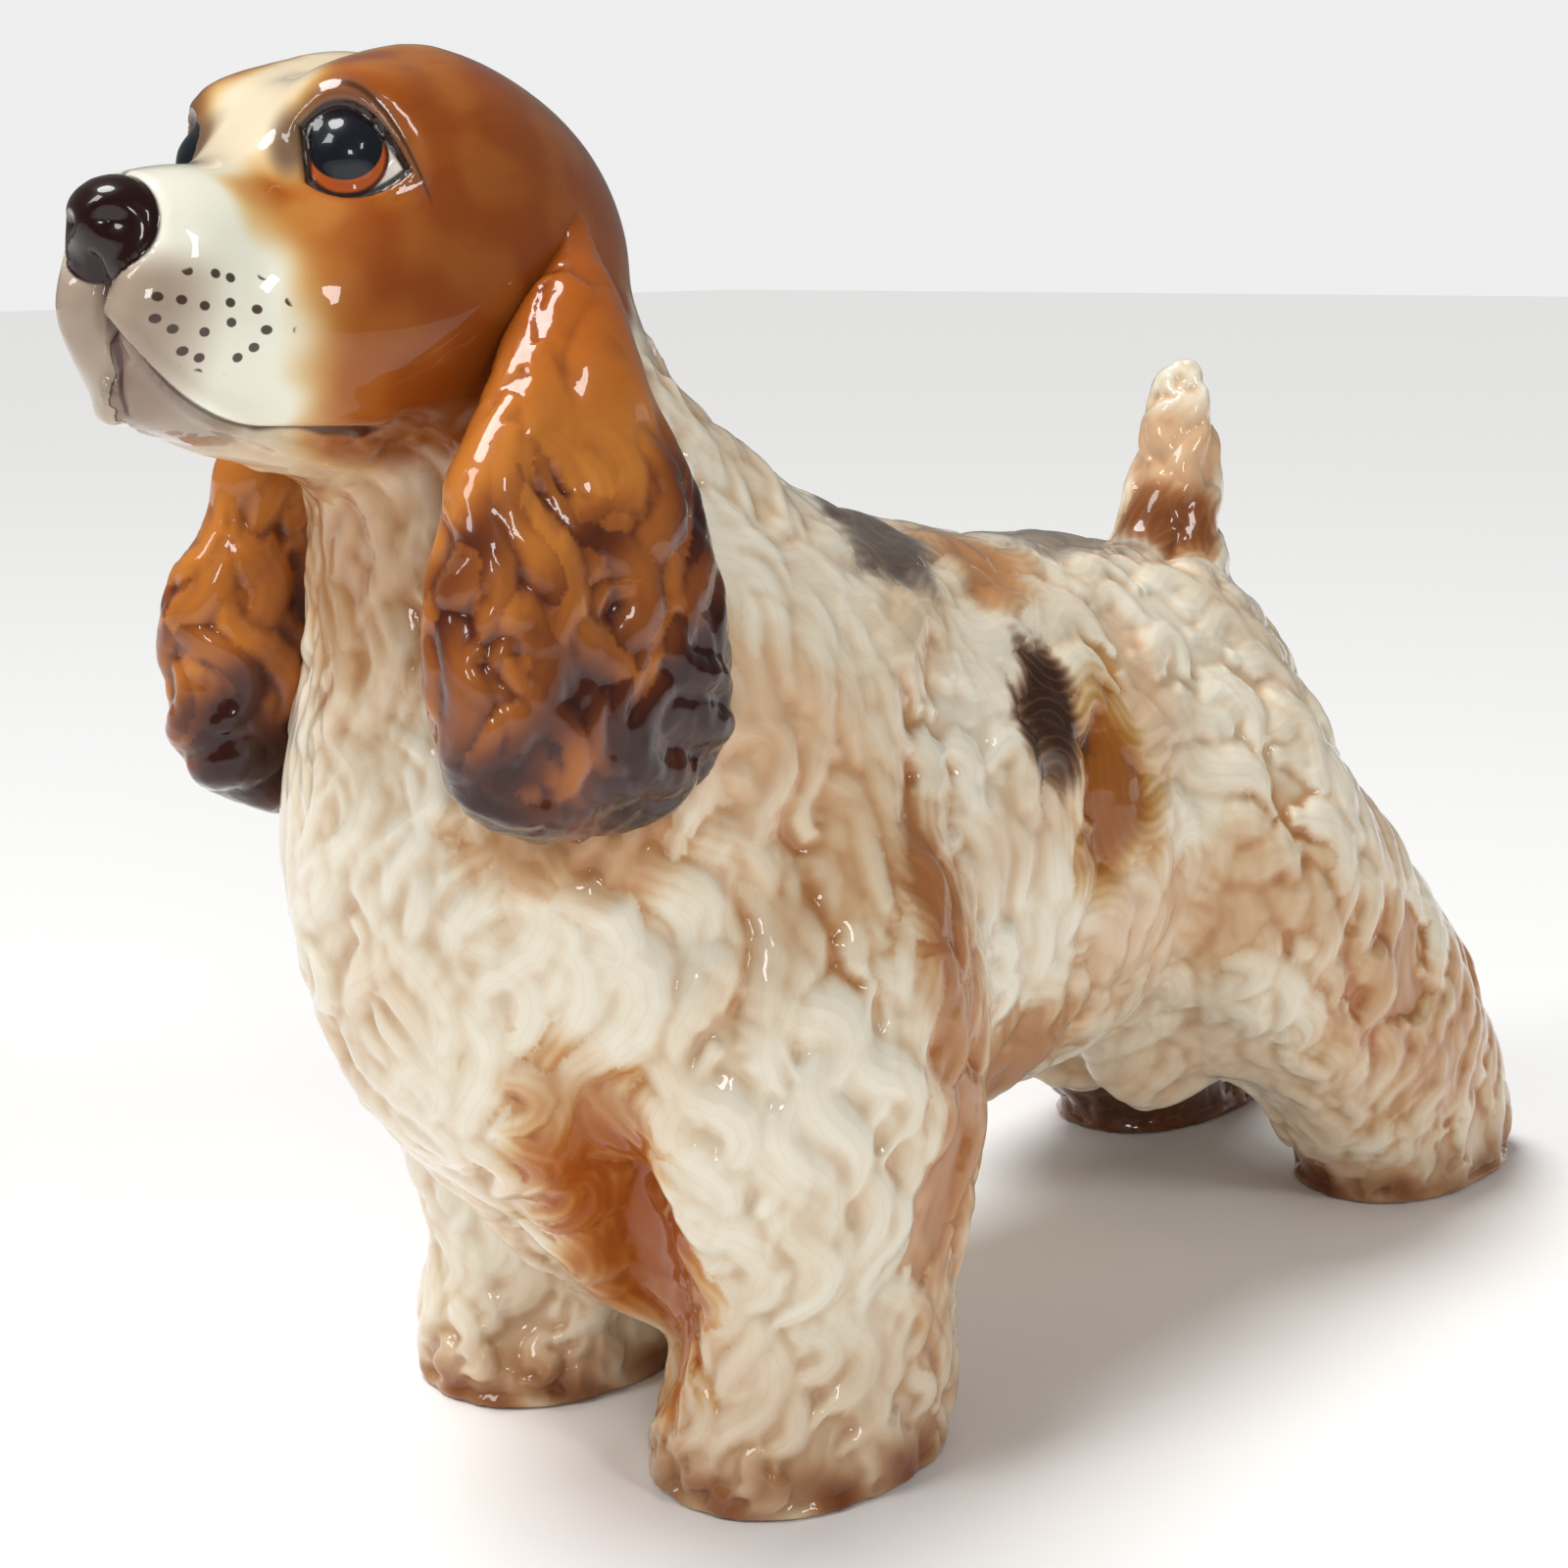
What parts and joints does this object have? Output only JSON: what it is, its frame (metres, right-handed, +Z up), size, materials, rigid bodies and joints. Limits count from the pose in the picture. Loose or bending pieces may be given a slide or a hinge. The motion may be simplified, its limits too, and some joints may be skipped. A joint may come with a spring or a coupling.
{
  "type": "ceramic dog figurine",
  "caption": "Glazed ceramic figurine of a standing long-eared spaniel, head raised and tail up, free-standing on flat soles.",
  "frame": {"origin": "on the surface that the soles rest on, under the middle of the figurine's bounding box", "axes": "+Z up, +Y from the muzzle to the hind feet along the length, +X to the dog's left across the narrow side"},
  "size_m": [0.0872, 0.2736, 0.1899],
  "materials": {
    "coat_glaze": "clear gloss glaze over cream body with airbrushed tan and brown",
    "head_glaze": "clear gloss glaze over airbrushed rust with painted eyes, nose and mouth",
    "ear_glaze": "clear gloss glaze over amber shading to chocolate brown"
  },
  "bodies": {
    "root": {"body_shell": "coat_glaze", "head_shell": "head_glaze", "left_ear": "ear_glaze", "right_ear": "ear_glaze", "left_foreleg": "coat_glaze", "right_foreleg": "coat_glaze", "left_hindleg": "coat_glaze", "right_hindleg": "coat_glaze", "tail": "coat_glaze"}
  },
  "joints": []
}
